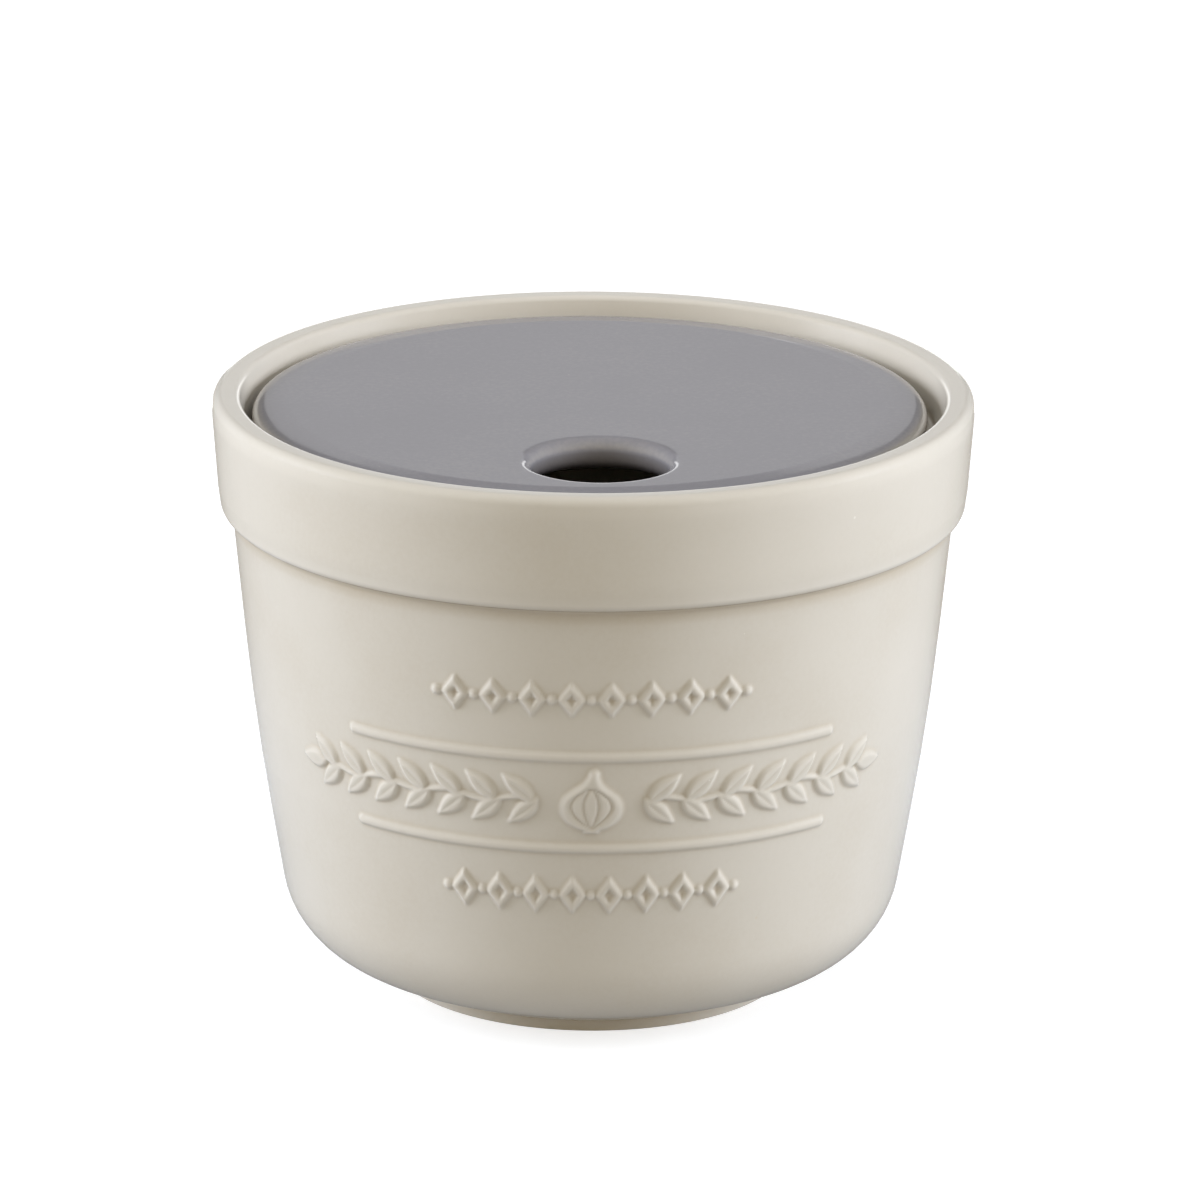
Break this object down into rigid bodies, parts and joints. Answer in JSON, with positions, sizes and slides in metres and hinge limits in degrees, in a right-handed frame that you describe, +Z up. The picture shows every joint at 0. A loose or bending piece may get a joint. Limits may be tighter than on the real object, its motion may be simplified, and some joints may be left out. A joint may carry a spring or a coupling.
{
  "type": "garlic keeper",
  "caption": "Round glazed stoneware keeper for garlic bulbs: a pot with a thick collar on a low foot ring, and a recessed lift-off lid with an off-centre finger and vent hole.",
  "frame": {"origin": "centre of the foot ring's ground face, on the axis of the pot", "axes": "+Z up along the pot's axis; -Y is the front, with the raised rules and the finger hole"},
  "size_m": [0.1302, 0.1302, 0.1039],
  "materials": {
    "cream_glaze": "gloss glaze on stoneware, bare on the ground face of the foot ring",
    "grey_glaze": "gloss glaze on stoneware, bare where the lid rests on its seat"
  },
  "bodies": {
    "pot": {"pot": "cream_glaze"},
    "lid": {"lid": "grey_glaze"}
  },
  "joints": [
    {"name": "lid_lift", "type": "slide", "parent": "pot", "child": "lid", "axis": [0, 0, 1], "range_m": [0, 0.12]}
  ]
}
